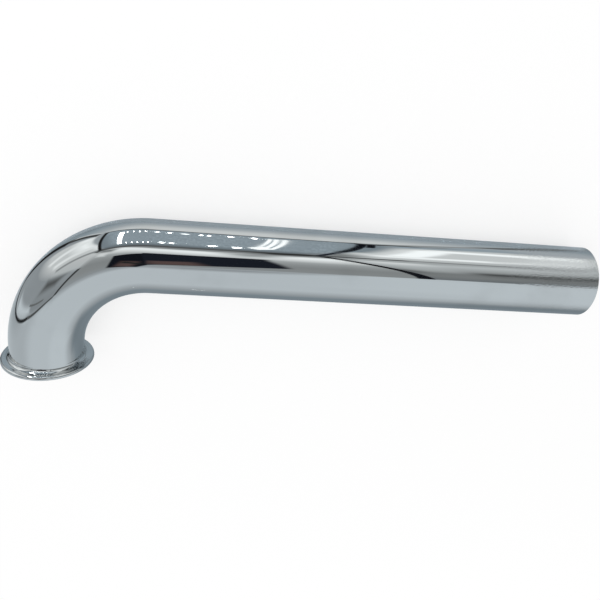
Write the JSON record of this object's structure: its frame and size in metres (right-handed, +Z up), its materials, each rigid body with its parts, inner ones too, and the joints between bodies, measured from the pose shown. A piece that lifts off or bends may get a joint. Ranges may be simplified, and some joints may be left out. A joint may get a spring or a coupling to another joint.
{
  "type": "waste pipe elbow",
  "caption": "Chromed brass waste tube bent square, with a long plain arm for a slip joint and a short collar ending in a turned-out flange.",
  "frame": {"origin": "on the floor under the middle of the elbow's box, with the elbow lying on its side", "axes": "+X along the arm to the plain end, -Y towards the flange, +Z up"},
  "size_m": [0.3148, 0.0832, 0.0475],
  "materials": {
    "chrome": "polished chrome on brass"
  },
  "bodies": {
    "root": {"waste_elbow": "chrome"}
  },
  "joints": []
}
